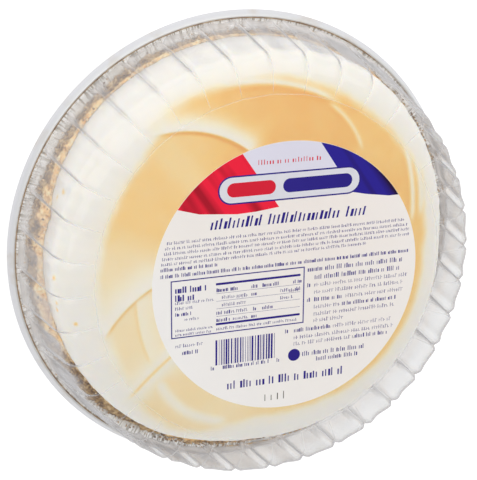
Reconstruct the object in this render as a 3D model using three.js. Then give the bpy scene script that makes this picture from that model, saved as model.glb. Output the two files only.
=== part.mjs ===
// A lemon meringue pie in its aluminium tin, under a clear fluted lid with a round paper label on it.
// Millimetres, +Z up. The tin stands on z = 0, and the label reads from the -Y side.
import * as THREE from "three";
import { mergeVertices } from "three/addons/utils/BufferGeometryUtils.js";

const FULL_TURN = 2 * Math.PI;
const GAP = 0.3; // left between pieces that touch

const tin = {
  wall: 0.8,
  baseRadius: 98, // where the wall would meet the base without its rounded corner
  cornerRadius: 5,
  mouthRadius: 117, // inside, where the wall turns into the flange
  flangeTop: 32,
  flangeRadius: 124.2, // where the flange turns up into the rolled rim
  rimRadius: 128,
  rimLowRoll: 1.1, // the rolled rim's roundings, low outside and high inside
  rimHighRoll: 0.8,
  rimTop: 33.4,
  rimBottom: 28.4,
  columns: 64,
};

const lid = {
  wall: 0.6,
  flangeEdge: tin.flangeRadius - GAP,
  footRadius: 123.2,
  wallDraft: THREE.MathUtils.degToRad(9.7),
  shoulderRadius: 11.2,
  crownTop: 84.6,
  discTop: 84.2,
  discCorner: 94.4, // from the axis to a corner of the flat top
  flutes: 36, // grooves down the wall
  firstFlute: THREE.MathUtils.degToRad(0.8),
};

const label = { radius: 73, thickness: 0.3, x: 8, y: -3, columns: 60 };

// The pie sits a little off the tin's middle.
const pie = { x: 1.5, y: 2.5 };

const meringue = {
  edgeRadius: 112.9,
  shoulderZ: 38, // the sides are upright up to here
  top: 71.5,
  squareness: 4, // exponent of the section's superellipse
  columns: 88,
  rows: 13,
};

const crust = {
  floorTop: 31.3, // under the meringue
  ridgeTop: 37.2,
  ridgeOuter: 118.4,
  footZ: tin.flangeTop + 2 * GAP,
  footHeight: 1.2, // how far the outer face stands up before the ridge leans in
  outerFall: 0.9, // from the ridge's top down to its outer edge
  innerFall: 0.5, // and down to the meringue
  crumb: 0.9, // how far its lumps stand in or out
  columns: 88,
};

// The spatula strokes on the meringue: arcs on the plan, each steep inside its line and sloping outside it.
// Angles in degrees.
const strokes = [
  { x: -44, y: 19, radius: 56.8, from: 30, to: 120, height: 1.2, width: 12 },
  { x: -29, y: -60, radius: 64.2, from: 105, to: 165, height: 1.2, width: 12 },
  { x: 18, y: -128, radius: 108.3, from: 118, to: 156, height: 1.2, width: 12 },
  { x: -7, y: 4, radius: 93.6, from: 50, to: 108, height: 0.8, width: 10 },
];

// Points on an arc in a section, [radius, height], from one angle to another in degrees.
function arc(centre, radius, from, to, steps) {
  return Array.from({ length: steps + 1 }, (_, i) => {
    const angle = THREE.MathUtils.degToRad(THREE.MathUtils.lerp(from, to, i / steps));
    return [centre[0] + radius * Math.cos(angle), centre[1] + radius * Math.sin(angle)];
  });
}

function evenAngles(count) {
  return Array.from({ length: count }, (_, i) => (i / count) * FULL_TURN);
}

// A closed solid turned about Z. The section may change from column to column, but it always has the same
// number of points, and runs from the axis out, up the outside and back to the axis.
function turned(angles, sectionAt) {
  const profile = sectionAt(angles[0], 0).map(([radius, z]) => new THREE.Vector2(radius, z));
  const geometry = new THREE.LatheGeometry(profile, angles.length);
  const position = geometry.getAttribute("position");
  for (let i = 0; i <= angles.length; i++) {
    const column = i % angles.length;
    const angle = angles[column];
    sectionAt(angle, column).forEach(([radius, z], row) => {
      const x = radius * Math.cos(angle);
      const y = radius * Math.sin(angle);
      position.setXYZ(i * profile.length + row, x, y, z);
    });
  }
  geometry.deleteAttribute("normal");
  geometry.deleteAttribute("uv");
  const welded = mergeVertices(geometry);
  welded.computeVertexNormals();
  return welded;
}

function named(name, geometry, color, roughness, metalness = 0) {
  const mesh = new THREE.Mesh(geometry, new THREE.MeshStandardMaterial({ color, roughness, metalness }));
  mesh.name = name;
  return mesh;
}

// A number from 0 to 1 that stays the same for the same whole number.
function scatter(n) {
  const s = Math.sin(n * 12.9898 + 4.1) * 43758.5453;
  return s - Math.floor(s);
}

// The inside of the tin's wall: its corner with the base, and its lean.
const wallLean = Math.atan2(tin.mouthRadius - tin.baseRadius, tin.flangeTop);
const leanDegrees = THREE.MathUtils.radToDeg(wallLean);

// The rounded corner between base and wall, moved by offset towards the inside of the tin.
function tinCorner(offset) {
  const radius = tin.cornerRadius - offset;
  const centreX = tin.baseRadius - tin.cornerRadius * Math.tan(Math.PI / 4 - wallLean / 2);
  return arc([centreX, tin.cornerRadius], radius, -90, -leanDegrees, 3);
}

// The radius of the tin's inner wall at a height, moved inwards by offset.
function tinInside(z, offset) {
  const along = (z - tin.flangeTop) * Math.tan(wallLean);
  return tin.mouthRadius + along - offset / Math.cos(wallLean);
}

function makeTin() {
  const under = tin.flangeTop - tin.wall;
  const low = [tin.rimRadius - tin.rimLowRoll, tin.rimBottom + tin.rimLowRoll];
  const high = [tin.flangeRadius + tin.rimHighRoll, tin.rimTop - tin.rimHighRoll];
  const section = [
    [0, 0],
    ...tinCorner(0),
    [tinInside(under, -tin.wall), under],
    [tin.flangeRadius, under],
    ...arc(low, tin.rimLowRoll, -135, 25, 5),
    ...arc(high, tin.rimHighRoll, 35, 165, 4),
    [tin.flangeRadius, tin.flangeTop],
    [tin.mouthRadius + tin.wall / 2, tin.flangeTop],
    [tin.mouthRadius - tin.wall / 4, tin.flangeTop - tin.wall],
    ...tinCorner(tin.wall).reverse(),
    [0, tin.wall],
  ];
  const geometry = turned(evenAngles(tin.columns), () => section);
  return named("foil_tin", geometry, 0xc9cacc, 0.35, 1);
}

// The meringue's edge, measured from the tin's axis.
function meringueEdge(angle) {
  return meringue.edgeRadius + pie.x * Math.cos(angle) + pie.y * Math.sin(angle);
}

// How high the spatula strokes stand at a point of the plan.
function strokeHeight(x, y) {
  let height = 0;
  for (const stroke of strokes) {
    const fromCentre = Math.hypot(x - stroke.x, y - stroke.y);
    const turn = THREE.MathUtils.euclideanModulo(Math.atan2(y - stroke.y, x - stroke.x), FULL_TURN);
    const along = THREE.MathUtils.mapLinear(THREE.MathUtils.radToDeg(turn), stroke.from, stroke.to, 0, 1);
    const fade = Math.sin(Math.PI * THREE.MathUtils.clamp(along, 0, 1));
    const inside = (stroke.radius - fromCentre) / stroke.width;
    const across = inside < 0 ? Math.exp(-inside * inside) : Math.exp(-9 * inside * inside);
    height += stroke.height * fade * across;
  }
  return height;
}

function meringueSection(angle) {
  const edge = meringueEdge(angle);
  const rise = meringue.top - meringue.shoulderZ;
  const section = [
    [0, crust.floorTop + GAP],
    [edge, crust.floorTop + GAP],
  ];
  for (let row = 0; row < meringue.rows; row++) {
    const turn = (row / meringue.rows) * (Math.PI / 2);
    const radius = edge * Math.cos(turn) ** (2 / meringue.squareness);
    const z = meringue.shoulderZ + rise * Math.sin(turn) ** (2 / meringue.squareness);
    const flat = Math.sin(turn) ** 2; // the strokes die away on the upright sides
    section.push([radius, z + flat * strokeHeight(radius * Math.cos(angle), radius * Math.sin(angle))]);
  }
  section.push([0, meringue.top]);
  return section;
}

function makeMeringue() {
  const geometry = turned(evenAngles(meringue.columns), meringueSection);
  return named("meringue", geometry, 0xf0dfc0, 0.6);
}

const LUMP_ROWS = 7; // more than the lumps of one column of the crust

// The crust fills the tin under the meringue and stands up round it as a crumbly ridge.
function crustSection(angle, column) {
  const lump = (row) => crust.crumb * (scatter(column * LUMP_ROWS + row) - 0.5);
  const inner = meringueEdge(angle) + GAP;
  const outer = crust.ridgeOuter;
  const width = outer - inner;
  return [
    [0, tin.wall + GAP],
    ...tinCorner(tin.wall + GAP),
    [tinInside(tin.flangeTop - 1, GAP), tin.flangeTop - 1],
    [outer - 2 * GAP, crust.footZ],
    [outer + lump(1), crust.footZ + crust.footHeight + lump(2)],
    [outer - width / 5 + lump(3), crust.ridgeTop - crust.outerFall + lump(4)],
    [inner + width / 2, crust.ridgeTop + lump(5)],
    [inner, crust.ridgeTop - crust.innerFall + lump(6) / 2],
    [inner, crust.floorTop],
    [0, crust.floorTop],
  ];
}

function makeCrust() {
  const geometry = turned(evenAngles(crust.columns), crustSection);
  return named("crust", geometry, 0xb98a5a, 0.9);
}

// Where the lid's wall folds, as shares of one flute: the bottom of its groove, the panel's first edge, the
// hollow of the panel and the panel's second edge.
const folds = [0, 0.17, 0.42, 0.89];

// The lid's outside from the flange up: each level has a point, the way it faces in degrees above level, and
// how deep the four folds lie there.
function lidLevels() {
  const draft = THREE.MathUtils.radToDeg(lid.wallDraft);
  const footZ = tin.flangeTop + GAP + lid.wall;
  const centreZ = lid.crownTop - lid.shoulderRadius;
  const shoulderZ = centreZ + lid.shoulderRadius * Math.sin(lid.wallDraft);
  const shoulder = lid.footRadius - (shoulderZ - footZ) * Math.tan(lid.wallDraft);
  const centre = [shoulder - lid.shoulderRadius * Math.cos(lid.wallDraft), centreZ];
  const levels = [];
  for (const share of [0, 0.35, 0.7]) {
    const radius = THREE.MathUtils.lerp(lid.footRadius, shoulder, share);
    const z = THREE.MathUtils.lerp(footZ, shoulderZ, share);
    levels.push({ point: [radius, z], faces: draft, depths: [2, 0.1, 1, 0] });
  }
  const shoulderDepths = [
    [2.2, 0, 1.1, 0],
    [2.2, 0, 1.1, 0],
    [1.6, 0.1, 0.7, 0],
    [1, 0.1, 0.4, 0],
    [0.5, 0.1, 0.2, 0],
  ];
  const steps = shoulderDepths.length - 1;
  arc(centre, lid.shoulderRadius, draft, 90, steps).forEach((point, i) => {
    levels.push({ point, faces: THREE.MathUtils.lerp(draft, 90, i / steps), depths: shoulderDepths[i] });
  });
  return levels;
}

// The flat top is a polygon with a corner at every groove.
function discRadius(fold) {
  const half = Math.PI / lid.flutes;
  return (lid.discCorner * Math.cos(half)) / Math.cos(half * (2 * folds[fold] - 1));
}

function makeLid() {
  const levels = lidLevels();
  const angles = [];
  for (let flute = 0; flute < lid.flutes; flute++) {
    for (const share of folds) angles.push(lid.firstFlute + ((flute + share) / lid.flutes) * FULL_TURN);
  }
  const skin = (fold, sunk) =>
    levels.map(({ point, faces, depths }) => {
      const turn = THREE.MathUtils.degToRad(faces);
      const depth = depths[fold] + sunk;
      return [point[0] - depth * Math.cos(turn), point[1] - depth * Math.sin(turn)];
    });
  const sectionAt = (_, column) => {
    const fold = column % folds.length;
    const disc = discRadius(fold);
    const flangeBottom = tin.flangeTop + GAP;
    const inside = skin(fold, lid.wall);
    inside[0][1] = flangeBottom;
    return [
      [0, lid.discTop - lid.wall],
      [disc, lid.discTop - lid.wall],
      ...inside.reverse(),
      [lid.flangeEdge, flangeBottom],
      [lid.flangeEdge, flangeBottom + lid.wall],
      ...skin(fold, 0),
      [disc, lid.discTop],
      [0, lid.discTop],
    ];
  };
  return named("dome_lid", turned(angles, sectionAt), 0xe6e6ea, 0.08);
}

function makeLabel() {
  const disc = new THREE.CylinderGeometry(label.radius, label.radius, label.thickness, label.columns);
  disc.rotateX(Math.PI / 2);
  const mesh = named("label", disc, 0xf4f2f0, 0.7);
  mesh.position.set(label.x, label.y, lid.discTop + GAP + label.thickness / 2);
  return mesh;
}

const part = new THREE.Group();
part.name = "lemon_meringue_pie";
part.add(makeTin(), makeCrust(), makeMeringue(), makeLid(), makeLabel());

export default part;
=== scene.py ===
import math
import random

import bmesh
import bpy
from mathutils import Matrix, Vector, noise


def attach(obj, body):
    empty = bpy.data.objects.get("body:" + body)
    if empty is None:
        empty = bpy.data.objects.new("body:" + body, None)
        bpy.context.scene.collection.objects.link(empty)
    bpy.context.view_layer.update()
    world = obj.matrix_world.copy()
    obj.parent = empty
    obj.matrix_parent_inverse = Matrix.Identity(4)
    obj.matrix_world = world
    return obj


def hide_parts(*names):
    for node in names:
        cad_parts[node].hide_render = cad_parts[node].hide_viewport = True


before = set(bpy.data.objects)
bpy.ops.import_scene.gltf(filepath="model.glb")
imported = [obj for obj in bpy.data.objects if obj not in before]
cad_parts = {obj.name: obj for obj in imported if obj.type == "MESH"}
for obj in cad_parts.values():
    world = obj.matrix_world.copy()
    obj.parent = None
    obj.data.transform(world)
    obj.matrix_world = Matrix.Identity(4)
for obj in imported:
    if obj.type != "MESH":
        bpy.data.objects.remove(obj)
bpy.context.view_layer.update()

mm = 0.001
fullTurn = 2 * math.pi


# ---- helpers for every piece ----

def ramp(low, high, x):
    t = min(1.0, max(0.0, (x - low) / (high - low)))
    return t * t * (3 - 2 * t)


def blendOf(points, x):  # straight lines between points, each x first; gives what follows x
    for before, after in zip(points, points[1:]):
        if x <= after[0]:
            t = max(0.0, (x - before[0]) / (after[0] - before[0]))
            mixed = [a + (b - a) * t for a, b in zip(before[1:], after[1:])]
            return mixed[0] if len(mixed) == 1 else mixed
    return points[-1][1] if len(points[-1]) == 2 else points[-1][1:]


def hill(x, width):
    return math.exp(-(x / width) ** 2)


def polar(radius, angle, z):
    return Vector((radius * math.cos(angle), radius * math.sin(angle), z))


def newLayers(bm, *names):  # numbers kept at the vertices, for the materials
    return [bm.verts.layers.float.new(name) for name in names]


def arcOf(centre, radius, start, end, steps):  # degrees, in a section of [radius, height] points
    turns = [math.radians(start + (end - start) * i / steps) for i in range(steps + 1)]
    return [(centre[0] + radius * math.cos(t), centre[1] + radius * math.sin(t)) for t in turns]


def dense(section, step):  # the same outline with a point at least every step mm
    out = [section[0]]
    for (r0, z0), (r1, z1) in zip(section, section[1:]):
        count = max(1, math.ceil(math.hypot(r1 - r0, z1 - z0) / step))
        out += [(r0 + (r1 - r0) * i / count, z0 + (z1 - z0) * i / count) for i in range(1, count + 1)]
    return out


def spun(section, steps, closed=False):  # an outline turned about Z
    bm = bmesh.new()
    points = [bm.verts.new((r * mm, 0, z * mm)) for r, z in section]
    for a, b in zip(points, points[1:]):
        bm.edges.new((a, b))
    if closed:
        bm.edges.new((points[-1], points[0]))
    bmesh.ops.spin(bm, geom=bm.verts[:] + bm.edges[:], axis=(0, 0, 1), cent=(0, 0, 0), angle=fullTurn,
                   steps=steps, use_merge=True)
    bmesh.ops.remove_doubles(bm, verts=bm.verts, dist=1e-7)
    bmesh.ops.recalc_face_normals(bm, faces=bm.faces)
    return bm


def newObject(name, data):
    made = bpy.data.objects.new(name, data)
    bpy.context.scene.collection.objects.link(made)
    return made


def newMesh(name, bm, material):
    mesh = bpy.data.meshes.new(name)
    bm.to_mesh(mesh)
    bm.free()
    mesh.materials.append(material)
    return newObject(name, mesh)


def asPiece(name, bm, slotName, material, *nodes, crease=180):
    for face in bm.faces:
        face.smooth = True
    for edge in bm.edges:
        edge.smooth = len(edge.link_faces) < 2 or edge.calc_face_angle() < math.radians(crease)
    piece = newMesh(name, bm, material)
    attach(piece, "root")
    if nodes:
        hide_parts(*nodes)
    print("made", name, len(piece.data.polygons), "faces")
    return piece


def shadeNothing(piece):  # thin clear or papery things hardly darken what lies under them
    piece.visible_shadow = False
    piece.visible_diffuse = False


# ---- node helpers ----

def newMaterial(name):
    material = bpy.data.materials.new(name)
    material.use_nodes = True
    tree = material.node_tree
    return material, tree, tree.nodes["Principled BSDF"]


def plug(tree, socket, value):  # a link, a colour, a vector or a number
    if isinstance(value, bpy.types.NodeSocket):
        tree.links.new(value, socket)
    else:
        socket.default_value = (*value, 1) if socket.type == "RGBA" else value


def dress(tree, node, values):  # fills a node's sockets by their names
    for name, value in values.items():
        plug(tree, node.inputs[name], value)


def newNode(tree, kind, values):
    made = tree.nodes.new("ShaderNode" + kind)
    dress(tree, made, values)
    return made.outputs


def mathNode(tree, operation, *values, clamp=False):
    made = tree.nodes.new("ShaderNodeMath")
    made.operation = operation
    made.use_clamp = clamp
    for socket, value in zip(made.inputs, values):
        plug(tree, socket, value)
    return made.outputs[0]


def scaled(tree, value, factor, plus=0.0, clamp=False):
    return mathNode(tree, "MULTIPLY_ADD", value, factor, plus, clamp=clamp)


def varied(tree, value, pattern, amount, clamp=False):  # moves a value up and down with a pattern round 0.5
    return scaled(tree, mathNode(tree, "SUBTRACT", pattern, 0.5), amount, value, clamp)


def noiseOf(tree, point, scale, detail):
    return newNode(tree, "TexNoise", {"Vector": point, "Scale": scale, "Detail": detail})["Fac"]


def colourRamp(tree, value, stops):
    made = tree.nodes.new("ShaderNodeValToRGB")
    elements = made.color_ramp.elements
    while len(elements) < len(stops):
        elements.new(0.5)
    for element, (place, colour) in zip(elements, stops):
        element.position = place
        element.color = (*colour, 1)
    tree.links.new(value, made.inputs["Fac"])
    return made.outputs["Color"]


def mixColour(tree, share, a, b, how="MIX"):
    made = tree.nodes.new("ShaderNodeMix")
    made.data_type = "RGBA"
    made.blend_type = how
    for socket, value in zip((made.inputs[0], made.inputs[6], made.inputs[7]), (share, a, b)):
        plug(tree, socket, value)
    return made.outputs[2]


def mixShader(tree, share, a, b):
    made = tree.nodes.new("ShaderNodeMixShader")
    for socket, value in zip(made.inputs, (share, a, b)):
        plug(tree, socket, value)
    return made.outputs[0]


def bumpFrom(tree, shader, height, strength, distance):
    bump = newNode(tree, "Bump", {"Height": height, "Strength": strength, "Distance": distance})
    tree.links.new(bump["Normal"], shader.inputs["Normal"])


def objectPoint(tree):
    return tree.nodes.new("ShaderNodeTexCoord").outputs["Object"]


def attributeOf(tree, name):
    made = tree.nodes.new("ShaderNodeAttribute")
    made.attribute_name = name
    return made.outputs["Fac"]


# ---- effects that several materials share ----

def newGroup(name, numbers, results):  # takes a point and the named numbers, gives the named results
    group = bpy.data.node_groups.new(name, "ShaderNodeTree")
    group.interface.new_socket(name="Point", in_out="INPUT", socket_type="NodeSocketVector")
    for label, value in numbers.items():
        made = group.interface.new_socket(name=label, in_out="INPUT", socket_type="NodeSocketFloat")
        made.default_value = value
    for label in results:
        group.interface.new_socket(name=label, in_out="OUTPUT", socket_type="NodeSocketFloat")
    start = group.nodes.new("NodeGroupInput")
    end = group.nodes.new("NodeGroupOutput")
    return group, start.outputs, end.inputs


def mottleGroup():  # soft clouds and a fine grain, both round 0.5
    group, given, wanted = newGroup("mottle", {"Cloud Scale": 60.0, "Grain Scale": 900.0},
                                    ("Clouds", "Grain"))
    for scale, detail, out in (("Cloud Scale", 3.0, "Clouds"), ("Grain Scale", 2.0, "Grain")):
        group.links.new(noiseOf(group, given["Point"], given[scale], detail), wanted[out])
    return group


def pleatGroup():  # ridges that run outwards from the Z axis
    group, given, wanted = newGroup("pleats", {"Count": 75.0, "Length": 120.0}, ("Height",))
    x, y, z = newNode(group, "SeparateXYZ", {"Vector": given["Point"]})
    radius = mathNode(group, "SQRT", scaled(group, x, x, scaled(group, y, y)))
    perRadius = mathNode(group, "DIVIDE", given["Count"], radius)
    joined = newNode(group, "CombineXYZ", {
        "X": scaled(group, x, perRadius),
        "Y": scaled(group, y, perRadius),
        "Z": scaled(group, mathNode(group, "ADD", radius, z), given["Length"]),
    })
    group.links.new(noiseOf(group, joined[0], 1.0, 1.5), wanted["Height"])
    return group


groups = {"mottle": mottleGroup(), "pleats": pleatGroup()}


def effect(tree, name, values):
    made = tree.nodes.new("ShaderNodeGroup")
    made.node_tree = groups[name]
    dress(tree, made, {"Point": objectPoint(tree), **values})
    return made.outputs


def mottled(tree, clouds, grain):  # at these scales
    return effect(tree, "mottle", {"Cloud Scale": clouds, "Grain Scale": grain})


def pleated(tree, count, length):
    return effect(tree, "pleats", {"Count": count, "Length": length})["Height"]


# ---- camera: looks down on the pie from behind its left, turned so that the label reads level ----

cameraSet = {
    "azimuth": 134.8,  # degrees from +X round to the camera
    "fromVertical": 26.48,
    "roll": 132.44,
    "distance": 0.768,
    "aimHeight": 0.0285,
    "lens": 104.37,
    "shift": (0.0018, 0.0025),
}


def makeCamera(s):
    azimuth, tilt, roll = (math.radians(s[k]) for k in ("azimuth", "fromVertical", "roll"))
    back = polar(math.sin(tilt), azimuth, math.cos(tilt))
    level = (-back).cross(Vector((0, 0, 1))).normalized()
    upward = level.cross(-back)
    right = level * math.cos(roll) + upward * math.sin(roll)
    up = upward * math.cos(roll) - level * math.sin(roll)
    data = bpy.data.cameras.new("camera")
    data.lens = s["lens"]
    data.sensor_width = 36
    data.shift_x, data.shift_y = s["shift"]
    data.clip_start, data.clip_end = 0.01, 20
    camera = newObject("camera", data)
    turn = Matrix((right, up, back)).transposed().to_4x4()
    camera.matrix_world = Matrix.Translation(back * s["distance"] + Vector((0, 0, s["aimHeight"]))) @ turn
    bpy.context.scene.camera = camera


makeCamera(cameraSet)
print("camera set")


# ---- foil tin ----

tinSet = {
    "foil": 0.4,
    "skin": 0.8,  # how far the outside lies outside the mouth and below the flange's top
    "baseRadius": 98.0,
    "corner": 5.0,
    "mouth": 117.0,
    "flangeTop": 32.0,
    "flangeRadius": 124.2,
    "rimLow": ((126.85, 29.5), 1.1),  # the rolled rim's two roundings: radius and height, size
    "rimHigh": ((125.0, 32.6), 0.8),
    "dustEnds": (118.2, 120.6),  # crumb dust lies thick at the first radius and ends at the second
    "dustAbove": 25,
    "dullFrom": (26.0, 30.0),  # crimping has dulled the flange: bright below these heights, dull above
    "rimDull": 0.55,
    "pleats": 160,
    "pleatSizes": [(96, 0.0), (104, 0.5), (116, 0.45), (118.5, 0.3), (123.9, 0.25), (124.3, 0.0), (128, 0.0)],
    "waves": 0.15,
    "rows": 3.2,  # the longest step along the section
    "columns": 960,
}


def makeTin(s, material):
    top, edge, skin = s["flangeTop"], s["flangeRadius"], s["skin"]
    rimR, rimZ = s["rimLow"][0]
    dustIn, dustOut = s["dustEnds"]
    lean = math.atan2(s["mouth"] - s["baseRadius"], top)
    cornerX = s["baseRadius"] - s["corner"] * math.tan(math.pi / 4 - lean / 2)
    outerMouth = s["mouth"] + skin / math.cos(lean) - skin * math.tan(lean)
    under = top - skin
    innerMouth = outerMouth - s["foil"] / math.cos(lean)
    section = dense([
        (cornerX, 0),
        *arcOf((cornerX, s["corner"]), s["corner"], -80, -math.degrees(lean), 5),
        (outerMouth, under),
        (edge, under),
        *arcOf(*s["rimLow"], -135, 25, 6),
        *arcOf(*s["rimHigh"], 35, 170, 6),
        (edge, top),
        (innerMouth + 0.5, top),
        (innerMouth - 0.3, top - 1.0),
        *arcOf((cornerX, s["corner"]), s["corner"] - s["foil"], -math.degrees(lean), -80, 5),
        (cornerX, s["foil"]),
    ], s["rows"])
    bm = spun([(0, 0), *section, (0, s["foil"])], s["columns"])
    bm.normal_update()
    # rolled is a half on the rim's inner side and one on its outer side
    rolledLayer, dustLayer, dullLayer = newLayers(bm, "rolled", "dust", "dull")
    shifts = []
    for v in bm.verts:
        x, y, z = v.co / mm
        radius = math.hypot(x, y)
        if radius < cornerX + 1:
            continue
        v[dustLayer] = ramp(-dustOut, -dustIn, -radius) if z > s["dustAbove"] else 0.0
        v[dullLayer] = ramp(*s["dullFrom"], z)
        if radius > edge + 0.05 and z > rimZ - 0.5:
            v[rolledLayer] = 1.0 if radius > rimR - 0.6 else 0.5
            v[dullLayer] = s["rimDull"]
        turn = Vector((x / radius, y / radius, 0)) * (s["pleats"] / fullTurn)
        fold = 1 - 2 * abs(noise.noise(turn + Vector((0, 0, radius * 0.03))))
        broad = noise.noise(turn * 0.3 + Vector((5, 0, radius * 0.02)))
        onFlange = s["mouth"] + 1 < radius < edge + 0.1 and z > under - 0.2
        push = blendOf(s["pleatSizes"], radius) * (fold - 0.9) + (s["waves"] * broad if onFlange else 0)
        shifts.append((v, (Vector((0, 0, 1)) if onFlange else v.normal) * push * mm))
    for v, shift in shifts:
        v.co += shift
    return asPiece("foilTin", bm, "foil_tin", material, "foil_tin", crease=50)


def foilMaterial():
    material, tree, shader = newMaterial("foil")
    fine = pleated(tree, 130.0, 110.0)
    finest = pleated(tree, 260.0, 260.0)
    mottle = mottled(tree, 70.0, 700.0)
    rolled, dull = attributeOf(tree, "rolled"), attributeOf(tree, "dull")
    # light and dark stripes along the pleats: painted highlights and shade of the pleats, over the foil's own
    # mottled tone
    tint = colourRamp(tree, varied(tree, mottle["Clouds"], fine, 3.0), [
        (0.18, (0.45, 0.42, 0.37)), (0.42, (0.88, 0.86, 0.83)), (0.6, (1.0, 1.0, 0.99))])
    wall = mixColour(tree, 1.0, tint, (0.72, 0.72, 0.73), "MULTIPLY")
    tint = mixColour(tree, dull, wall, tint)
    # the rolled rim's grey: the inner half painted lighter and the outer half darker and bluer, for how the
    # light falls on each side
    bead = colourRamp(tree, rolled, [(0.5, (0.68, 0.68, 0.68)), (1.0, (0.64, 0.64, 0.66))])
    tint = mixColour(tree, scaled(tree, rolled, 2.0, clamp=True), tint, bead)
    # brown crumb dust beside the crust
    spread = scaled(tree, mathNode(tree, "SUBTRACT", mottle["Clouds"], 0.55), 2.2, attributeOf(tree, "dust"))
    darkBrown = scaled(tree, spread, 0.75, clamp=True)
    dress(tree, shader, {
        "Base Color": mixColour(tree, darkBrown, tint, (0.44, 0.33, 0.19)),
        "Metallic": scaled(tree, darkBrown, -0.4, scaled(tree, dull, -0.95, 1.0), clamp=True),
        "Roughness": scaled(tree, mottle["Grain"], 0.25, 0.28),
    })
    crimped = scaled(tree, rolled, -1.9, 1.0, clamp=True)
    bumpFrom(tree, shader, scaled(tree, scaled(tree, finest, 0.4, fine), crimped), 0.6, 0.0009)
    return material


makeTin(tinSet, foilMaterial())


# ---- crust ----

pieOffset = (1.5, 2.5)  # the pie sits a little off the tin's middle
crustSet = {
    "bowl": [(0, 1.1), (95, 1.1), (98, 5), (116.0, 31)],  # the crust's underside: radius, height
    "floor": 31.3,
    "ridgeTop": 37.2,
    "inner": 111.0,  # while it is spun; the ridge is then fitted to the meringue's edge
    "outer": 118.4,
    "foot": 32.6,
    "gap": 0.1,
    "rows": 0.45,
    "columns": 800,
    "uneven": 0.9,
    "lump": 1.5,
    "crumb": 0.9,
    "settled": 0.4,  # how far its lumpy face lies inside the smooth one on average
    # by degrees round the pie: how far the outer edge strays in mm, and how much farther in the darker outer
    # colour comes (painted shade of the crust's outer slope, with darker crumb colour)
    "reach": [(0, 0.8), (25, 0.4), (45, 0.0), (245, 0.0), (255, 1.2), (285, 1.2), (300, 0.6), (360, 0.8)],
    "darkReach": [(0, 0.0), (90, 0.12), (125, 0.12), (145, 0.02), (197, 0.05), (207, 0.5), (240, 0.45),
               (250, -0.3), (285, -0.3), (300, 0.0), (360, 0.0)],
}
meringueSet = {
    "edge": 112.9,
    # how far the edge strays from a circle: degrees, mm
    "stray": [(0, -2.6), (15, -2.0), (30, -0.8), (45, 0.0), (90, 0.0), (120, 0.5), (135, 0.7), (150, -0.3),
              (159, -1.2), (166, -3.2), (173, -1.2), (195, -0.7), (210, 0.4), (225, 1.2), (240, 1.6),
              (255, 0.0), (270, -0.6), (285, 1.2), (300, 2.4), (315, 2.2), (330, 1.6), (345, -0.2),
              (360, -2.6)],
    "foot": 31.6,
    "shoulder": 38.0,
    "top": 71.5,
    "squareness": 4,
    "columns": 760,
    "sideRows": 25,
    "topRows": 94,
    "bend": 0.638,  # share of the height where the rows change from the side's to the top's
    "underLabel": 50.0,  # inside this radius the rows are few
}


def edgeOf(angle):  # the meringue's edge, from the tin's axis
    circle = meringueSet["edge"] + pieOffset[0] * math.cos(angle) + pieOffset[1] * math.sin(angle)
    fine = 0.35 * noise.noise(polar(1, angle, 0) * 22)
    return circle + blendOf(meringueSet["stray"], math.degrees(angle) % 360) + fine


def makeCrust(s, material):
    inner, outer, foot, top = s["inner"], s["outer"], s["foot"], s["ridgeTop"]
    ridge = dense([
        (outer, foot),
        (outer - 0.2, foot + 0.9),
        (outer - 1.6, top - 1.3),
        (outer - 4.0, top),
        (inner, top + 0.3),
    ], s["rows"])
    bm = spun([*s["bowl"], *ridge, (inner, s["floor"]), (0, s["floor"])], s["columns"])
    bm.normal_update()
    crumbLayer, outLayer = newLayers(bm, "crumb", "outward")
    shifts = []
    for v in bm.verts:
        x, y, z = v.co / mm
        radius = math.hypot(x, y)
        if radius < inner - 1 or z < s["floor"] - 0.1:
            continue
        angle = math.atan2(y, x)
        degrees = math.degrees(angle) % 360
        side = edgeOf(angle) + s["gap"]
        share = (radius - inner) / (outer - inner)
        broad, near = noise.noise(Vector((x, y, 40)) * 0.12), noise.noise(Vector((x, y, 9)) * 0.4)
        edge = outer + blendOf(s["reach"], degrees) + s["uneven"] * broad + s["uneven"] * near
        fitted = side + share * (edge - side)
        v.co.x, v.co.y = fitted * math.cos(angle) * mm, fitted * math.sin(angle) * mm
        v[outLayer] = share + blendOf(s["darkReach"], degrees)
        if z < foot - 0.5:
            continue
        crumb = noise.fractal(v.co / mm * 1.1, 0.8, 2.1, 3)
        v[crumbLayer] = crumb
        push = s["lump"] * noise.noise(v.co / mm * 0.32) + s["crumb"] * crumb - s["settled"]
        free = 0.25 + 0.75 * ramp(0, 0.25, share)
        shifts.append((v, v.normal * push * free * mm))
    for v, shift in shifts:
        v.co += shift
        v.co.z = max(v.co.z, (foot - 0.2) * mm)
    return asPiece("crustRing", bm, "crust", material, "crust")


def crustMaterial():
    material, tree, shader = newMaterial("crust")
    mottle = mottled(tree, 230.0, 1400.0)
    patches = mottled(tree, 75.0, 420.0)
    value = scaled(tree, attributeOf(tree, "crumb"), 0.3, mottle["Clouds"])
    value = varied(tree, value, patches["Grain"], 0.8)
    baked = colourRamp(tree, value, [(0.25, (0.62, 0.34, 0.12)), (0.42, (0.97, 0.60, 0.24)),
                                     (0.6, (1.0, 0.74, 0.36)), (0.8, (1.0, 0.86, 0.54))])
    # the darker outer part: painted shade of the crust's outer slope and foot, along with the darker colour
    # of its crumbs
    darkBrown = colourRamp(tree, value, [(0.25, (0.13, 0.065, 0.022)), (0.45, (0.29, 0.165, 0.055)),
                                     (0.62, (0.49, 0.31, 0.125)), (0.8, (0.68, 0.49, 0.26))])
    outward = varied(tree, attributeOf(tree, "outward"), patches["Clouds"], 1.5)
    share = varied(tree, 0.0, outward, 5.0, clamp=True)
    dress(tree, shader, {"Base Color": mixColour(tree, share, baked, darkBrown), "Roughness": 0.85})
    bumpFrom(tree, shader, mottle["Grain"], 0.5, 0.0006)
    return material


makeCrust(crustSet, crustMaterial())


# ---- crumbs ----

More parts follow.
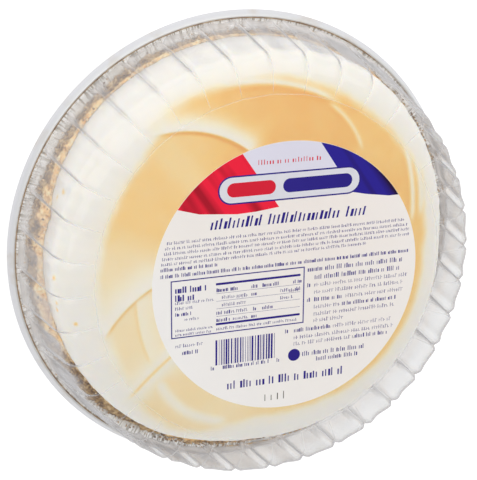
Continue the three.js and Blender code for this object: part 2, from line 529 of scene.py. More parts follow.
crumbSet = {
    "seed": 11,
    "ridge": 520,  # on and beside the crust's outer half
    "slope": [(0, 37.0), (0.6, 37.0), (0.85, 35.6), (0.93, 33.6), (1, 32.5)],  # share of the way out, height
    "end": 119.6,  # the farthest out that those lie
    "edge": 460,  # along the meringue's foot
    "flange": 170,
    "spots": [(8, 12, 60), (25, 6, 14), (52, 10, 12), (215, 9, 16), (228, 7, 22), (262, 14, 60), (282, 6, 24),
              (305, 16, 20), (345, 8, 20)],  # on the flange: degrees, spread, how many
    # crumbs on the crust's outer shoulder where it shows past the meringue: degrees from and to, and how many
    "shoulders": [(-10, 34, 240), (246, 290, 260), (290, 350, 90)],
    "clinging": (266, 289, 120),  # to the foot of the lid's wall
}


def makeCrumbs(s, material):
    pick = random.Random(s["seed"])
    flange, ridge = tinSet["flangeTop"], crustSet["ridgeTop"]
    bm = bmesh.new()
    [toneLayer] = newLayers(bm, "tone")

    def crumb(angle, radius, z, size, tone):
        before = len(bm.verts)
        spin = pick.uniform(0, fullTurn)
        axis = Vector((pick.random(), pick.random(), 1)).normalized()
        flat = Matrix.Diagonal((size, size * pick.uniform(0.55, 0.9), size * pick.uniform(0.4, 0.7), 1))
        place = Matrix.Translation(polar(radius * mm, angle, z * mm))
        bmesh.ops.create_icosphere(bm, subdivisions=1, radius=mm,
                                   matrix=place @ Matrix.Rotation(spin, 4, axis) @ flat)
        bm.verts.ensure_lookup_table()
        for v in bm.verts[before:]:
            v[toneLayer] = tone

    for _ in range(s["ridge"]):
        angle = pick.uniform(0, fullTurn)
        side = edgeOf(angle)
        share = pick.random() ** 0.7
        radius, z = side + 1 + share * (s["end"] - side), blendOf(s["slope"], share)
        crumb(angle, radius, z, pick.uniform(0.25, 0.95), pick.random() - 0.35 * share)
    for _ in range(s["edge"]):
        angle = pick.uniform(0, fullTurn)
        size = pick.uniform(0.35, 1.2)
        crumb(angle, edgeOf(angle) + 0.45 * size, ridge - 0.1 + 0.3 * size, size, pick.uniform(0.6, 1.0))
    for _ in range(s["flange"]):
        angle, radius = pick.uniform(0, fullTurn), pick.uniform(119.0, 123.0)
        crumb(angle, radius, flange + 0.3, pick.uniform(0.15, 0.45), pick.random())
    for start, end, count in s["shoulders"]:
        for _ in range(count):
            angle = math.radians(pick.uniform(start, end))
            share = pick.random()
            radius, z = 117.0 + 3.4 * share, ridge - 3.8 * share
            crumb(angle, radius, z, pick.uniform(0.3, 0.95), pick.uniform(0.0, 0.75))
    start, end, count = s["clinging"]
    for _ in range(count):  # higher and higher, on the wall's slant
        turn = pick.uniform(start, end)
        z = 33.6 + 4.2 * (turn - start) / (end - start) + pick.uniform(-0.5, 0.7)
        crumb(math.radians(turn), 122.0 - 0.17 * (z - 33), z, pick.uniform(0.25, 0.6), pick.uniform(0.2, 0.9))
    for middle, spread, count in s["spots"]:
        for _ in range(count):
            angle = math.radians(pick.gauss(middle, spread / 2))
            size = pick.uniform(0.25, 0.7)
            crumb(angle, pick.uniform(119.2, 123.2), flange + 0.2 + size * 0.4, size, pick.uniform(0, 0.7))
    return asPiece("crumbs", bm, "crust", material)


def crumbMaterial():
    material, tree, shader = newMaterial("crumb")
    mottle = mottled(tree, 300.0, 1500.0)
    tone = colourRamp(tree, varied(tree, attributeOf(tree, "tone"), mottle["Clouds"], 0.7), [
        (0.05, (0.16, 0.09, 0.04)), (0.35, (0.42, 0.26, 0.12)),
        (0.65, (0.68, 0.46, 0.24)), (0.95, (0.84, 0.66, 0.40))])
    dress(tree, shader, {"Base Color": tone, "Roughness": 0.9})
    bumpFrom(tree, shader, mottle["Grain"], 0.5, 0.0004)
    return material


makeCrumbs(crumbSet, crumbMaterial())


# a thin lumpy brown line along the crease between the lid's flange and the tin's rim
beadSet = {
    "middle": (124.1, 33.0),
    "sides": 7,
    "columns": 1500,
    # how thick it is round the tin: degrees, mean radius and unevenness in mm
    "sizes": [(0, 0.4, 0.5), (22, 0.4, 0.5), (30, 0.06, 0.1), (50, 0.05, 0.0), (53, 0.3, 0.35),
              (66, 0.3, 0.35), (80, 0.26, 0.15), (110, 0.24, 0.12), (150, 0.3, 0.2), (190, 0.34, 0.2),
              (205, 0.3, 0.2), (225, 0.3, 0.3), (238, 0.1, 0.2), (285, 0.1, 0.2), (300, 0.05, 0.05),
              (340, 0.05, 0.05), (350, 0.3, 0.4), (360, 0.4, 0.5)],
    "limits": (0.04, 0.62),
}


def makeBead(s, material):
    thinnest, thickest = s["limits"]
    radius, height = s["middle"]
    bm = spun(arcOf(s["middle"], 1.0, 0, 360, s["sides"])[:-1], s["columns"], closed=True)
    for v in bm.verts:
        x, y, z = v.co / mm
        around = Vector((x, y, 0)).normalized()
        size, uneven = blendOf(s["sizes"], math.degrees(math.atan2(y, x)) % 360)
        rough = noise.noise(around * 60) + 0.6 * noise.noise(around * 170 + Vector((0, 0, z)))
        grown = min(thickest, max(thinnest, size + uneven * rough))
        middle = Vector((around.x * radius, around.y * radius, height))
        v.co = (middle + (Vector((x, y, z)) - middle) * grown) * mm
    return asPiece("creaseLine", bm, "crust", material)


def beadMaterial():
    material, tree, shader = newMaterial("creaseBrown")
    mottle = mottled(tree, 260.0, 1500.0)
    tone = colourRamp(tree, mottle["Clouds"], [(0.3, (0.20, 0.12, 0.07)), (0.5, (0.34, 0.23, 0.14)),
                                               (0.7, (0.52, 0.40, 0.27))])
    dress(tree, shader, {"Base Color": tone, "Roughness": 0.9})
    bumpFrom(tree, shader, mottle["Grain"], 0.6, 0.0005)
    return material


makeBead(beadSet, beadMaterial())


# ---- meringue ----

# The browned top's outline, from the tin's axis: degrees, radius in mm, softness of its edge in mm and how
# strongly it is browned inside.
brownedEdge = [
    (0, 95.5, 4, 0.85), (12, 96, 4, 0.88), (24, 100, 5, 0.9), (33, 99, 5, 0.9), (45, 97.5, 5, 0.92),
    (55, 97.5, 5, 0.95), (67, 98.5, 5, 0.95), (102, 98.5, 4, 0.9), (112, 98.5, 5, 0.85),
    (120, 98.5, 6, 0.75), (126, 97.5, 7, 0.62), (131, 93, 6, 0.62), (136, 88.5, 5, 0.75),
    (142, 87.5, 4, 0.78), (158, 87.5, 4, 0.75), (170, 88, 4, 0.52), (180, 89, 4, 0.44),
    (190, 89, 4, 0.42), (199, 90, 4, 0.45), (210, 91, 5, 0.44), (217, 93.5, 5, 0.44), (224, 98, 5, 0.48),
    (232, 102, 5, 0.5), (241, 103.5, 5, 0.5), (250, 101, 5, 0.48), (259, 94, 5, 0.46), (268, 88, 4, 0.54),
    (283, 90, 4, 0.62), (304, 94.5, 4, 0.72), (321, 97.5, 4, 0.76), (335, 97.5, 4, 0.8),
    (348, 96.5, 4, 0.82), (360, 95.5, 4, 0.85),
]
# Spatula strokes, arcs on the plan in mm and degrees: middle, radius, span, over how many degrees the ends
# fade and how far the stroke lifts the top; how far the white band shows outside and inside the arc, and
# how white it is (unbrowned meringue, and painted highlight on the stroke's ridge); the offset, width and
# strength of the darker ridge beside it.
strokeSet = [
    ((-44.1, 18.9), 56.8, (44, 108), 10, 0.8, (7.5, 0.7, 0.92), (-1.6, 1.2, 0.8)),
    ((-33.0, 38.0), 43.5, (100, 168), 22, 0.5, (4.0, 2.5, 0.75), (-5, 3, 0.1)),
    ((-29.0, -60.3), 64.2, (112, 156), 6, 0.8, (10.0, 0.7, 0.85), (-1.2, 1.1, 0.9)),
    ((26.9, -10.8), 95.5, (177, 205), 5, 0.4, (0.8, 9.0, 0.5), (1.2, 1.0, 0.4)),
    ((17.8, -128.0), 108.3, (125, 149), 4, 0.8, (7.0, 7.0, 0.85), (0.0, 1.1, 1.7)),
    ((-13.7, -41.7), 47.2, (196, 266), 10, 0.4, (3.2, 3.4, 0.75), (-4, 2, 0.1)),
    ((-7.0, 3.9), 93.6, (56, 102), 10, 0.4, (1.8, 1.4, 0.75), (-3.2, 1.8, 0.3)),
    ((11.0, 46.2), 45.2, (12, 60), 10, 0.3, (1.2, 1.2, 0.5), (-2.5, 1.5, 0.15)),
    ((-29.6, 23.9), 115.9, (354, 378), 5, 0.3, (1.6, 1.6, 0.7), (-2.5, 1.5, 0.2)),
    ((15.1, 27.4), 76.9, (350, 381), 8, 0.2, (1.8, 2.2, 0.7), (2.5, 1.5, 0.3)),
    ((-40.0, -40.0), 155.5, (39, 51), 3, 0.1, (1.0, 1.0, 0.0), (0.0, 1.8, 0.3)),
]
# small browned flecks on the bare side: degrees, height, size in mm
fleckSet = [(156.5, 51.8, 2.2), (158.9, 46.8, 1.7), (180.1, 54.8, 2.0), (187.5, 55.0, 1.5),
            (189.7, 54.0, 1.5), (193.6, 61.8, 1.6), (172.0, 44.0, 0.9), (205.0, 47.0, 1.0)]


def strokesAt(x, y):  # (height, share of the white band, darker line) at a point of the plan
    height = whiteBand = line = 0.0
    for centre, radius, (start, end), soft, lift, (outside, inside, strength), ridge in strokeSet:
        dx, dy = x - centre[0], y - centre[1]
        away = math.hypot(dx, dy) - radius
        if abs(away) > 25:  # too far away to show
            continue
        turn = (math.degrees(math.atan2(dy, dx)) - start) % 360
        fade = ramp(0, soft, turn) * ramp(start - end, start - end + soft, -turn)
        if fade <= 0:
            continue
        whiteBand = max(whiteBand, strength * fade * hill(away, outside if away > 0 else inside))
        offset, width, depth = ridge
        line = max(line, depth * fade * hill(away - offset, width))
        height += lift * fade * (hill(away, 8) if away > 0 else hill(away, 1.2 if inside < 2 else 6))
    return height, whiteBand, line


def domeShare(share):  # at a share of the dome's height, its share of the radius; and the other way round
    power = meringueSet["squareness"]
    return (1 - share ** power) ** (1 / power)


def fleckAt(point):
    share = 0.0
    low, high = meringueSet["shoulder"], meringueSet["top"]
    for degrees, z, size in fleckSet:
        turn = math.radians(degrees)
        away = (point - polar(edgeOf(turn) * domeShare((z - low) / (high - low)), turn, z)).length
        share = max(share, ramp(-size, -size * 0.3, -away * (1 + 0.5 * noise.noise(point))))
    return share


def makeMeringue(s, material):
    low, edge, inner = s["shoulder"], s["edge"], s["underLabel"]
    rise = s["top"] - low
    section = [(0, s["foot"]), (edge, s["foot"])]
    for row in range(s["sideRows"]):
        height = s["bend"] * row / s["sideRows"]
        section.append((edge * domeShare(height), low + rise * height))
    outer = edge * domeShare(s["bend"])
    radii = [outer + (inner - outer) * row / s["topRows"] for row in range(s["topRows"])]
    radii += [inner * share for share in (1, 0.8, 0.6, 0.4, 0.2)]
    section += [(r, low + rise * domeShare(r / edge)) for r in radii]
    bm = spun([*section, (0, s["top"])], s["columns"])
    brownLayer, lineLayer, fleckLayer = newLayers(bm, "browned", "line", "fleck")
    for v in bm.verts:
        x, y, z = v.co / mm
        angle = math.atan2(y, x)
        grown = edgeOf(angle) / edge
        x, y = x * grown, y * grown
        point = Vector((x, y, z))
        if z < low - 1:
            v.co = point * mm
            continue
        degrees = math.degrees(angle) % 360
        height, whiteBand, line = strokesAt(x, y)
        onTop = ramp(low + 6, s["top"] - 6, z)
        swell = 0.7 * noise.noise(point * 0.03) + 0.15 * noise.noise(point * 0.12)
        v.co = (point + Vector((0, 0, onTop * (height + swell)))) * mm
        reach, soft, strength = blendOf(brownedEdge, degrees)
        wander = 1.2 * noise.noise(Vector((x, y, 3)) * 0.05) + 0.8 * noise.noise(Vector((x, y, 9)) * 0.16)
        inside = reach - math.hypot(x, y) + wander
        top = ramp(-soft, soft, inside)
        # the browning is taken off under the white band of the strokes: unbrowned meringue, and painted
        # highlight on their ridges
        v[brownLayer] = max(top * strength, 0.14 * ramp(-10, 2, inside)) * (1 - whiteBand)
        v[lineLayer] = line * (0.3 + 0.7 * top)
        if 150 < degrees < 210 and z < 64:  # where the flecks are
            v[fleckLayer] = fleckAt(point)
    return asPiece("meringueTop", bm, "meringue", material, "meringue")


def meringueMaterial():
    material, tree, shader = newMaterial("meringue")
    mottle = mottled(tree, 26.0, 520.0)
    patches = mottled(tree, 95.0, 1300.0)
    value = scaled(tree, attributeOf(tree, "browned"), scaled(tree, mottle["Clouds"], 0.22, 0.86))
    value = varied(tree, value, patches["Clouds"], scaled(tree, value, 0.22))
    value = scaled(tree, attributeOf(tree, "line"), 0.32, value)
    value = scaled(tree, attributeOf(tree, "fleck"), 0.78, value, clamp=True)
    tone = colourRamp(tree, value, [(0.0, (0.87, 0.84, 0.775)), (0.3, (0.90, 0.80, 0.58)),
                                    (0.6, (0.91, 0.68, 0.325)), (0.82, (0.91, 0.59, 0.20)),
                                    (1.0, (0.87, 0.47, 0.12))])
    dress(tree, shader, {
        "Base Color": tone,
        "Roughness": 0.5,
        "Subsurface Weight": 0.8,
        "Subsurface Radius": (1.0, 0.85, 0.6),
        "Subsurface Scale": 0.006,
    })
    bumpFrom(tree, shader, mottle["Grain"], 0.12, 0.0004)
    return material


makeMeringue(meringueSet, meringueMaterial())


# ---- clear lid ----

lidSet = {
    "wall": 0.5,
    "flange": 0.6,  # its thickness
    "flangeEdge": 123.9,
    "foot": (123.2, 32.9),
    "draft": 9.7,
    "shoulderRadius": 11.2,
    "crown": 84.6,
    "disc": 84.3,
    "discCorner": 94.4,
    "edgeGroove": (0.35, 0.25),  # half the width and the depth of the line round the flat top
    "rows": 4,  # the longest step along the section
    "flutes": 36,
    "firstFlute": 0.8,
    # the columns of one flute, as shares of it, and the shares where the panel between two grooves folds
    "shares": [0, 0.013, 0.06, 0.115, 0.17, 0.23, 0.32, 0.42, 0.55, 0.68, 0.79, 0.86, 0.89, 0.94, 0.987],
    "folds": (0.17, 0.42, 0.89),
    "foldDepth": 0.1,
    "glintColumns": (1, 14),  # columns beside each groove with a painted highlight, a thin white line
    "ribbon": (11, 12, 13),  # and those with a painted reflection of the groove's flank, low on the wall only
    # share of the shoulder's turn, then the depth of the groove and of the panel's hollow
    "depths": [(0, 2.0, 1.0), (0.12, 2.2, 1.1), (0.35, 2.1, 1.0), (0.6, 1.5, 0.6), (0.8, 0.9, 0.3),
               (1, 0.45, 0.1)],
    "hollows": (0.3, 1.1),  # least and most of that depth that a panel's hollow has
    "wobble": 0.22,
    "seed": 5,
}


def fluteDepth(s, share, groove, hollow):  # how deep the wall lies at a share of its flute
    first, middle, second = s["folds"]
    fold = s["foldDepth"]
    if share < first:
        return fold + (groove - fold) * (1 - share / first) ** 1.3
    if share < middle:
        return fold + (hollow - fold) * ramp(first, middle, share)
    if share < second:
        return hollow * ramp(-second, -middle, -share)
    return groove * ((share - second) / (1 - second)) ** 1.3


def makeLid(s, material):
    footR, footZ = s["foot"]
    draft = math.radians(s["draft"])
    centreZ = s["crown"] - s["shoulderRadius"]
    shoulderZ = centreZ + s["shoulderRadius"] * math.sin(draft)
    shoulderR = footR - (shoulderZ - footZ) * math.tan(draft)
    centreR = shoulderR - s["shoulderRadius"] * math.cos(draft)
    flangeBottom = footZ - s["flange"]
    corner, near = s["discCorner"], 0.05
    halfLine, lineDepth = s["edgeGroove"]

    def skin(sunk):
        return dense([
            (footR - sunk / math.cos(draft), footZ),
            *arcOf((centreR, centreZ), s["shoulderRadius"] - sunk, s["draft"], 90, 14),
            (corner + halfLine, s["disc"] + 0.05 - sunk),
            (corner, s["disc"] - lineDepth - sunk),
            (corner - halfLine, s["disc"] - sunk),
        ], s["rows"])

    inside = skin(s["wall"])
    inside[0] = (inside[0][0], flangeBottom)
    section = [(0, s["disc"] - s["wall"]), *reversed(inside), (s["flangeEdge"], flangeBottom),
               (s["flangeEdge"], footZ), *skin(0), (0, s["disc"])]
    perFlute = len(s["shares"])
    columns = s["flutes"] * perFlute
    bm = spun(section, columns)
    creaseLayer, glintLayer, footSheenLayer = newLayers(bm, "crease", "glint", "footSheen")
    pick = random.Random(s["seed"])
    hollows = [pick.uniform(*s["hollows"]) for _ in range(s["flutes"])]
    half = math.pi / s["flutes"]
    for v in bm.verts:
        x, y, z = v.co / mm
        radius = math.hypot(x, y)
        if radius < 1 or radius > s["flangeEdge"] - 0.1:
            continue
        column = round(math.atan2(y, x) / fullTurn * columns) % columns
        flute, place = divmod(column, perFlute)
        share = s["shares"][place]
        around = math.radians(s["firstFlute"]) + (flute + share) / s["flutes"] * fullTurn
        if radius < corner + halfLine + near:  # the flat top has a corner at every groove
            straight = radius * math.cos(half) / math.cos(half * (2 * share - 1))
            v.co = polar(straight, around, z) * mm
            # the line round the flat top is painted grey and white, for the light and shade its small groove
            # shows
            v[creaseLayer] = 0.45 if abs(radius - corner) < near else 0.0
            continue
        if z <= shoulderZ - near:
            faces, turn = draft, 0.0
        elif radius > centreR + 0.01:
            faces = math.atan2(z - centreZ, radius - centreR)
            turn = (faces - draft) / (math.pi / 2 - draft)
        else:
            faces, turn = math.pi / 2, 1.0
        groove, hollow = blendOf(s["depths"], turn)
        depth = fluteDepth(s, share, groove, hollow * hollows[flute])
        if turn == 1.0:
            depth *= (radius - corner) / (centreR - corner)
        depth += s["wobble"] * noise.noise(v.co / mm * 0.07) * (1 - turn)
        radius -= depth * math.cos(faces)
        z -= depth * math.sin(faces)
        v.co = polar(radius, around, z) * mm
        v[footSheenLayer] = ramp(-48, -35, -z)  # the lowest part of the wall is whitened where it is seen slanting: painted sheen
        # each groove's fold line is painted grey and white, and the columns beside it get painted highlights,
        # for the light and shade the folds show
        if place == 0:
            v[creaseLayer] = 0.5 + 0.5 * ramp(0.0, 0.3, turn)
        elif place in s["glintColumns"]:
            v[glintLayer] = 0.5 - 0.4 * ramp(0.0, 0.5, turn)
        elif place in s["ribbon"]:
            v[glintLayer] = 1.2 - 1.2 * ramp(42, 66, v.co.z / mm)
    return asPiece("lidShell", bm, "dome_lid", material, "dome_lid", crease=30)


def lidMaterial():
    material, tree, shader = newMaterial("clearPlastic")
    tree.nodes.remove(shader)
    crease, footSheen, glint = (attributeOf(tree, name) for name in ("crease", "footSheen", "glint"))
    facing = tree.nodes.new("ShaderNodeLayerWeight").outputs["Facing"]
    back = tree.nodes.new("ShaderNodeNewGeometry").outputs["Backfacing"]
    clear = newNode(tree, "BsdfTransparent", {"Color": (0.985, 0.985, 0.985)})[0]
    shine = newNode(tree, "BsdfGlossy", {"Color": (0.75, 0.75, 0.77), "Roughness": 0.16})[0]
    fresnel = newNode(tree, "Fresnel", {"IOR": scaled(tree, back, 1 / 1.5 - 1.5, 1.5)})[0]
    film = mixShader(tree, fresnel, clear, shine)
    # what makes the plastic milky: scuffs, and painted sheen where it is seen slanting, stronger beside the
    # grooves and low on the wall; the fold lines add their painted grey and white
    veil = scaled(tree, mottled(tree, 45.0, 400.0)["Clouds"], 0.03)
    # whitening that grows as the plastic is seen more slanting: painted sheen standing in for its reflection
    for mark, power, share in ((1.0, 4.3, 0.98), (glint, 2.0, 0.6), (footSheen, 4.0, 1.3)):
        slanting = scaled(tree, mathNode(tree, "POWER", facing, power), mark)
        veil = scaled(tree, slanting, share, veil)
    veil = scaled(tree, crease, 0.38, veil, clamp=True)
    # the milky colour: grey for the painted sheen, white to light grey on the painted fold lines
    whitened = colourRamp(tree, crease, [(0.0, (0.49, 0.485, 0.50)), (0.45, (0.88, 0.88, 0.90)),
                                         (0.9, (0.80, 0.80, 0.83))])
    whitened = mixColour(tree, footSheen, whitened, (0.86, 0.86, 0.88))
    lit = (newNode(tree, kind, {"Color": whitened})[0] for kind in ("BsdfDiffuse", "BsdfTranslucent"))
    white = mixShader(tree, 0.5, *lit)  # the milky plastic is lit from both its sides
    tree.links.new(mixShader(tree, veil, film, white), tree.nodes["Material Output"].inputs["Surface"])
    return material


shadeNothing(makeLid(lidSet, lidMaterial()))


# ---- label ----

# Sizes on the label are mm from its middle, the way it reads.
labelSet = {
    "middle": (8.0, -3.0),
    "radius": 73.0,
    "rim": 0.4,  # the paper's edge, a ring of faces of its own
    # heights on the pie of the paper and of what is printed on it
    "paper": (84.5, 84.68),
    "field": (84.69, 84.72),
    "banner": (84.73, 84.745),
    "bannerFace": (84.75, 84.762),
    "mark": (84.765, 84.79),
    "seeThrough": 0.5,
    # each field's ink and the lines that cut it out of the disc
    "fields": {
        "labelRed": ("red", [((-5.5, 39), (-25.5, 68.5)), ((-18, 37.6), (-5.5, 39)),
                             ((-28, 37.2), (-18, 37.6)), ((-48, 39), (-28, 37.2)), ((-60, 42.5), (-48, 39))]),
        "labelLilac": ("lilac", [((-25.5, 68.5), (-5.5, 39)), ((-5.5, 39), (12, 43.5)),
                                 ((12, 43.5), (40, 43.5)), ((36, 42), (16.5, 71.3))]),
        "labelBlue": ("blue", [((16.5, 71.3), (36, 42)), ((34, 42.8), (43, 41.4)),
                               ((43, 41.4), (52, 39.4)), ((52, 39.4), (70, 39.6))]),
    },
    # rounded bars: ink, layer, and x from, x to, y from, y to
    "capsules": {
        "banner": ("navy", "banner", (-38.3, 39.3, 42.4, 57.3)),
        "bannerFace": ("paper", "bannerFace", (-37.5, 38.5, 43.2, 56.5)),
        "bannerRed": ("bright", "mark", (-33.5, -7.5, 46.2, 53.6)),
        "bannerBlue": ("navy", "mark", (-3.5, 34.5, 46.2, 53.6)),
    },
}


def onLabel(bm, heights):  # gives flat shapes their thickness and sets them on the label
    bmesh.ops.solidify(bm, geom=bm.faces[:], thickness=(heights[1] - heights[0]) * mm)
    lowest = min(v.co.z for v in bm.verts)
    x, y = labelSet["middle"]
    bmesh.ops.translate(bm, verts=bm.verts, vec=(x * mm, y * mm, heights[0] * mm - lowest))
    bmesh.ops.recalc_face_normals(bm, faces=bm.faces)
    return bm


def roundField(radius, cuts):  # a disc cut along lines; what lies left of a line, seen along it, stays
    bm = bmesh.new()
    bmesh.ops.create_circle(bm, cap_ends=True, segments=240, radius=radius * mm)
    for (x0, y0), (x1, y1) in cuts:
        bmesh.ops.bisect_plane(bm, geom=bm.verts[:] + bm.edges[:] + bm.faces[:], clear_outer=True,
                               plane_co=(x0 * mm, y0 * mm, 0), plane_no=(y1 - y0, x0 - x1, 0))
    return bm


def bar(bm, x0, x1, y0, y1, slant=0.0):  # a flat bar; slant leans its top to the right
    shape = Matrix(((x1 - x0, slant * (y1 - y0), 0, (x0 + x1) / 2), (0, y1 - y0, 0, (y0 + y1) / 2),
                    (0, 0, 1, 0), (0, 0, 0, 1)))
    bmesh.ops.create_grid(bm, x_segments=1, y_segments=1, size=0.5, matrix=Matrix.Scale(mm, 4) @ shape)


def capsule(bm, x0, x1, y0, y1):
    start = len(bm.verts)
    bar(bm, x0, x1, y0, y1)
    bm.verts.ensure_lookup_table()
    bmesh.ops.bevel(bm, geom=bm.verts[start:], offset=(y1 - y0) * 0.49 * mm, offset_type="OFFSET", segments=9,
                    profile=0.5, affect="VERTICES", material=-1)


def makePaper(s):
    bm = roundField(s["radius"], [])
    bmesh.ops.inset_region(bm, faces=bm.faces[:], thickness=s["rim"] * mm)
    return onLabel(bm, s["paper"])


def inkMaterial(name, light, dark, stripes=0.0, seeThrough=0.0):
    material, tree, shader = newMaterial(name)
    mottle = mottled(tree, 50.0, 1600.0)
    share = mottle["Clouds"]
    if stripes:  # soft folds, as in hanging cloth
        place = tree.nodes.new("ShaderNodeMapping")
        place.vector_type = "TEXTURE"
        dress(tree, place, {
            "Vector": objectPoint(tree),
            "Rotation": (0, 0, math.radians(34)),
            "Scale": (1 / stripes, 16 / stripes, 1),
        })
        share = varied(tree, 0.22, noiseOf(tree, place.outputs[0], 1.0, 1.0), 5.0, clamp=True)
    colour = mixColour(tree, share, light, dark)
    dress(tree, shader, {"Base Color": colour, "Roughness": 0.5, "Specular IOR Level": 0.06})
    bumpFrom(tree, shader, mottle["Grain"], 0.05, 0.0001)
    through = newNode(tree, "BsdfTranslucent", {"Color": colour})[0]  # paper lets some light through
    mix = mixShader(tree, seeThrough, shader.outputs[0], through)
    tree.links.new(mix, tree.nodes["Material Output"].inputs["Surface"])
    return material


thin = labelSet["seeThrough"]
inks = {
    "paper": inkMaterial("paper", (0.905, 0.90, 0.905), (0.885, 0.88, 0.89), seeThrough=thin),
    "red": inkMaterial("redInk", (0.82, 0.018, 0.048), (0.38, 0.01, 0.024), stripes=130.0),
    "lilac": inkMaterial("lilacInk", (0.80, 0.79, 0.87), (0.76, 0.75, 0.83), seeThrough=thin),
    "blue": inkMaterial("blueInk", (0.026, 0.017, 0.26), (0.018, 0.006, 0.03), stripes=110.0),
    "navy": inkMaterial("navyInk", (0.030, 0.021, 0.24), (0.023, 0.014, 0.19)),
    "bright": inkMaterial("brightInk", (0.66, 0.018, 0.040), (0.60, 0.015, 0.035)),
    "black": inkMaterial("blackInk", (0.035, 0.035, 0.03), (0.02, 0.02, 0.018)),
}


def asPrint(name, bm, ink, *nodes):  # a piece of the label
    shadeNothing(asPiece(name, bm, "label", inks[ink], *nodes, crease=30))


def makeLabel(s):
    asPrint("labelPaper", makePaper(s), "paper", "label")
    for name, (ink, cuts) in s["fields"].items():
        asPrint(name, onLabel(roundField(s["radius"] - 0.1, cuts), s["field"]), ink)
    for name, (ink, layer, box) in s["capsules"].items():
        bm = bmesh.new()
        capsule(bm, *box)
        asPrint(name, onLabel(bm, s[layer]), ink)


makeLabel(labelSet)

# Rows of small marks stand in for the print: where a row starts and ends, its middle, and its height in mm.
markSet = {
    "fine": [(-65, 65, 25.5, 1.7), (-66, 67, 22.7, 1.7), (-66.5, 68, 20.0, 1.7), (-67.5, 68, 17.2, 1.7),
             (-68, 44, 14.5, 1.7), (-61, -41, -7.0, 1.7), (-61, -51, -10.0, 1.7), (-56, -48, -16.2, 1.6),
             (-61, -41, -22.0, 1.5), (-61, -41, -24.3, 1.5), (-28, -22, -7.0, 1.8), (1, 6, -7.0, 1.8),
             (-36, -22, -6.5, 1.8), (-4, 3, -6.5, 1.8), (-36, -23, -10.6, 1.8), (-4, 3, -10.6, 1.8),
             (-31, -22, -14.8, 1.8), (-30, -22, -18.8, 1.8), (-39, 5, -23.6, 1.6), (-61, -46, -30.5, 1.9),
             (15, 68, -5.4, 2.2), (15, 66, -9.4, 2.2), (33, 66, -13.6, 2.2), (15, 29, -17.8, 2.2),
             (15, 62, -21.8, 2.2), (15, 32, -25.4, 2.2), (18, 60, -29.8, 2.2), (4, 61, -33.8, 2.2),
             (4, 38, -37.4, 2.2)],
    "bold": [(-68.5, -38, 11.6, 2.0), (-68.5, 69.5, 8.0, 2.0), (-61, -52, -13.2, 1.9), (-39, -27, -2.4, 2.0),
             (-14, -5, -2.4, 2.0), (-20, -16.5, -2.4, 2.0), (3, 8, -2.4, 2.0), (-20, -16.5, -6.5, 2.0),
             (4, 7, -6.5, 2.0), (-39, -31, -14.8, 2.0), (-19, -16.5, -14.8, 2.0), (-14, -7, -14.8, 2.0),
             (-39, -31.5, -18.8, 2.0), (-20, -16.5, -18.8, 2.0), (-57.5, -49, -34.6, 2.1), (11, 65, 3.4, 2.6),
             (15, 64, -1.2, 2.6), (11, 13, -5.4, 2.2), (11, 13, -13.6, 2.2), (15, 32, -13.6, 2.4),
             (31, 62, -17.8, 2.2), (-1, 1, -29.8, 2.2), (4, 24, -29.8, 2.3), (39, 58, -37.4, 2.3),
             (9, 45, -43.8, 2.6), (17, 41, -47.6, 2.4), (-42, -40.5, -45.4, 2.2), (-35.5, -10, -45.4, 2.2),
             (-5.5, -4, -45.4, 2.2)],
    "large": [(-61, -44, 0.0, 3.4), (-61, -50.5, -4.4, 3.4), (-33, 33.5, -56.2, 4.6)],
    "title": [(-42, -15, 33.0, 5.6), (-11, 28, 33.0, 5.6), (32, 44, 33.0, 5.6)],
    "header": [(-17, 17, 63.2, 2.6)],
    "stamp": [(-12, 2.2, -66.0, 4.4)],
    "hands": {  # how each kind of row is drawn
        "fine": {"stroke": 0.26, "dots": True},
        "bold": {"stroke": 0.45, "pitch": 0.42},
        "large": {"stroke": 0.8, "pitch": 0.38, "words": (2, 6)},
        "title": {"stroke": 1.0, "pitch": 0.42, "lean": 0.22, "words": (20, 20)},
        "header": {"stroke": 0.45},
        "stamp": {"stroke": 0.5, "pitch": 0.8, "words": (4, 4)},
    },
    # straight lines and bars: x from, x to, y from, y to
    "rules": [(-63.3, 9.3, 4.6, 5.2), (-63.3, 9.3, -26.2, -25.6), (-63.3, -62.7, -25.6, 4.6),
              (8.7, 9.3, -25.6, 4.6), (-39.3, 7, 0.3, 1.5), (-39.3, 7, -21.6, -20.4), (-39, 7, -4.3, -4.15),
              (-39, 7, -8.5, -8.35), (-39, 7, -12.6, -12.45), (-39, 7, -16.8, -16.65)],
    "bars": (-39.5, -6.5, -44.0, -29.9),
    "spot": (4.3, -43.8, 3.4),  # a plain disc: its middle and its radius
    "seed": 21,
}


def markRow(bm, pick, row, stroke, pitch=0.58, lean=0.0, words=(2, 8), dots=False):
    x, end, middle, height = row
    left = pick.randint(*words)
    foot = middle - height / 2
    while x < end - stroke:
        wide = stroke * pick.choice((0.8, 1.0, 1.0, 1.5))
        tall = height * pick.choice((1.0, 0.7, 0.7, 0.85))
        bar(bm, x, x + wide, foot, foot + tall, lean)
        if dots:
            free = height * pitch - wide
            level = foot + tall * pick.choice((0.2, 0.5, 0.8))
            bar(bm, x + wide + free * 0.3, x + wide + free * 0.7, level - stroke * 0.5, level + stroke * 0.5)
        x += height * pitch
        left -= 1
        if left == 0:
            left = pick.randint(*words)
            x += height * 0.42


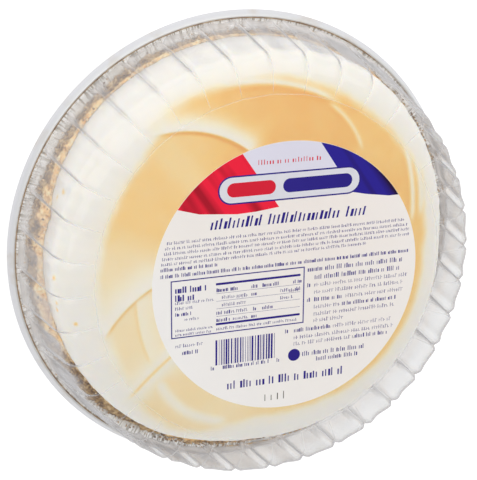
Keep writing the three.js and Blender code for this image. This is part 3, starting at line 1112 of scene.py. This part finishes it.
def makeMarks(s):
    pick = random.Random(s["seed"])

    def rows(bm, *kinds):
        for kind in kinds:
            for row in s[kind]:
                markRow(bm, pick, row, **s["hands"][kind])
        return bm

    navy = rows(bmesh.new(), "fine", "bold", "large", "title")
    for rule in s["rules"]:
        bar(navy, *rule)
    x, end, low, high = s["bars"]
    while x < end:
        width = pick.choice((0.25, 0.25, 0.45, 0.7, 1.0))
        bar(navy, x, min(end, x + width), low, high)
        x += width + pick.choice((0.35, 0.5, 0.9))
    x, y, radius = s["spot"]
    bmesh.ops.create_circle(navy, cap_ends=True, segments=32, radius=radius * mm,
                            matrix=Matrix.Translation((x * mm, y * mm, 0)))
    asPrint("labelMarks", onLabel(navy, labelSet["mark"]), "navy")
    asPrint("labelHeader", onLabel(rows(bmesh.new(), "header"), labelSet["mark"]), "bright")
    asPrint("labelStamp", onLabel(rows(bmesh.new(), "stamp"), labelSet["mark"]), "black")


makeMarks(markSet)


# ---- floor, light and world ----

stageSet = {
    "floor": (0.46, 0.46, 0.46),
    "glow": 0.74,
    "zenith": 0.61,  # the world's brightness overhead and at the horizon
    "horizon": 0.75,
    "keyPower": 14.4,
    "keySize": 2.4,
    "keySpot": (-0.14, 0.74, 1.04),
}


def makeStage(s):
    bm = bmesh.new()
    bmesh.ops.create_grid(bm, x_segments=1, y_segments=1, size=6)
    material, tree, shader = newMaterial("floorPaper")
    dress(tree, shader, {
        "Base Color": s["floor"],
        "Roughness": 0.9,
        "Emission Color": (1, 1, 1),
        "Emission Strength": s["glow"],  # a light table
    })
    floor = newMesh("floor", bm, material)
    floor.location.z = -0.3 * mm

    world = bpy.data.worlds.new("studio")
    world.use_nodes = True
    tree = world.node_tree
    sky = tree.nodes.new("ShaderNodeTexCoord").outputs["Generated"]
    upward = mathNode(tree, "MAXIMUM", newNode(tree, "SeparateXYZ", {"Vector": sky})["Z"], 0.0)
    glow = scaled(tree, upward, s["zenith"] - s["horizon"], s["horizon"])
    dress(tree, tree.nodes["Background"], {"Color": (0.985, 0.99, 1.0), "Strength": glow})
    bpy.context.scene.world = world

    light = bpy.data.lights.new("key", "AREA")
    light.energy = s["keyPower"]
    light.size = s["keySize"]
    key = newObject("key", light)
    spot = Vector(s["keySpot"])
    key.matrix_world = Matrix.Translation(spot) @ spot.to_track_quat("Z", "Y").to_matrix().to_4x4()
    bpy.context.scene.view_settings.view_transform = "Standard"


makeStage(stageSet)
print("stage set")
